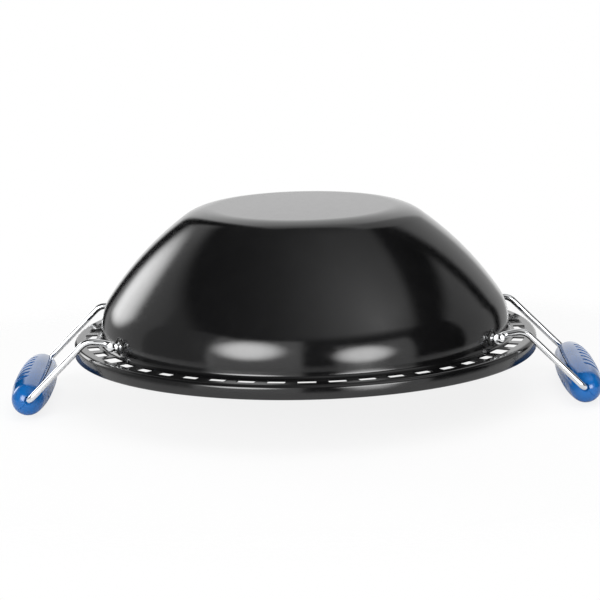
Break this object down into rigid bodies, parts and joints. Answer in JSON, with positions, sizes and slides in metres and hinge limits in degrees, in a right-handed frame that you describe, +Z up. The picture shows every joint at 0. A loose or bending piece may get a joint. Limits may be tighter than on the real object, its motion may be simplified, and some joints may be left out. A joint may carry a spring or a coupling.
{
  "type": "portable gas stove lid",
  "caption": "Pressed steel dome with a flat top and a slotted rim, used as the lid or pan of a portable gas stove, with swinging wire handles that carry barrel grips.",
  "frame": {"origin": "on the floor under the middle of the dome, where the two grips rest", "axes": "+Z up along the dome's axis, +X through the right handle, +Y away from the picture's viewer"},
  "size_m": [0.4562, 0.3608, 0.1518],
  "materials": {
    "black_enamel": "gloss vitreous enamel",
    "chrome": "polished plating",
    "blue_plastic": "gloss moulded",
    "seal_rubber": "matt",
    "zinc_steel": "bright zinc"
  },
  "bodies": {
    "dome": {"dome_shell": "black_enamel", "left_front_pivot_lug": "chrome", "left_front_seal_washer": "seal_rubber", "left_front_backing_washer": "zinc_steel", "left_front_cap_nut": "zinc_steel", "left_rear_pivot_lug": "chrome", "left_rear_seal_washer": "seal_rubber", "left_rear_backing_washer": "zinc_steel", "left_rear_cap_nut": "zinc_steel", "right_front_pivot_lug": "chrome", "right_front_seal_washer": "seal_rubber", "right_front_backing_washer": "zinc_steel", "right_front_cap_nut": "zinc_steel", "right_rear_pivot_lug": "chrome", "right_rear_seal_washer": "seal_rubber", "right_rear_backing_washer": "zinc_steel", "right_rear_cap_nut": "zinc_steel"},
    "left_handle": {"left_bail_wire": "chrome", "left_grip_upper": "blue_plastic", "left_grip_lower": "blue_plastic", "left_grip_screws": "zinc_steel"},
    "right_handle": {"right_bail_wire": "chrome", "right_grip_upper": "blue_plastic", "right_grip_lower": "blue_plastic", "right_grip_screws": "zinc_steel"}
  },
  "joints": [
    {"name": "left_handle_hinge", "type": "hinge", "parent": "dome", "child": "left_handle", "pos_m": [-0.14461, 0, 0.05984], "axis": [0, 1, 0], "range_deg": [-14, 60]},
    {"name": "right_handle_hinge", "type": "hinge", "parent": "dome", "child": "right_handle", "pos_m": [0.14461, 0, 0.05984], "axis": [0, -1, 0], "range_deg": [-14, 60]}
  ]
}
